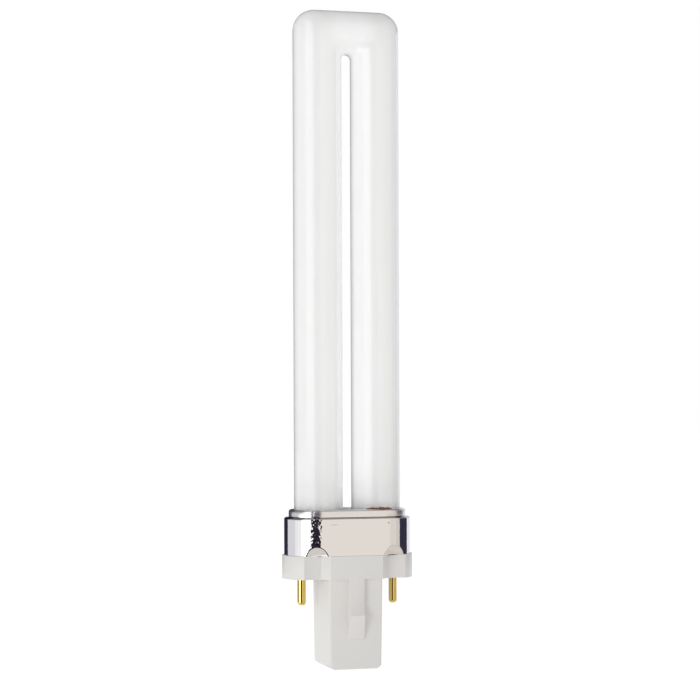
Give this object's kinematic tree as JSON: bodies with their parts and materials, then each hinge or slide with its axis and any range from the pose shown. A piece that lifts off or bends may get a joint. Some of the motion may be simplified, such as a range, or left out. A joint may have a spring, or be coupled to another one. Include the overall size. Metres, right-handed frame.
{
  "type": "compact fluorescent lamp",
  "caption": "U-shaped compact fluorescent lamp: a milky glass discharge tube cemented in an aluminium collar, on a white plug-in base with brass contact pins and latch ribs.",
  "frame": {"origin": "middle of the plug's end face, on which the lamp stands", "axes": "+Z along the lamp, from the plug to the bend; X along the line of the contact pins and of the tube's legs; Y across the broad sides, which carry the latch ribs"},
  "size_m": [0.032, 0.0188, 0.1588],
  "materials": {
    "coated_glass": "smooth glass, milky from the phosphor coating inside",
    "drawn_aluminium": "bright drawn sheet",
    "white_plastic": "moulded, semi-matte white",
    "cement": "cured brown basing cement",
    "pin_brass": "drawn brass, bright",
    "clear_glass": "clear blown glass",
    "capacitor_dip": "dipped epoxy",
    "sleeve_metal": "tinned brass tube",
    "lead_metal": "drawn nickel-iron wire"
  },
  "bodies": {
    "root": {"discharge_tube": "coated_glass", "metal_collar": "drawn_aluminium", "base_moulding": "white_plastic", "basing_cement": "cement", "contact_pin_left": "pin_brass", "contact_pin_right": "pin_brass", "starter_bottle": "clear_glass", "suppression_capacitor": "capacitor_dip", "splice_sleeve_left": "sleeve_metal", "splice_sleeve_right": "sleeve_metal", "pin_lead_left": "lead_metal", "pin_lead_right": "lead_metal", "loop_lead_left": "lead_metal", "loop_lead_right": "lead_metal", "starter_lead_left": "lead_metal", "starter_lead_right": "lead_metal", "capacitor_lead_left": "lead_metal", "capacitor_lead_right": "lead_metal"}
  },
  "joints": []
}
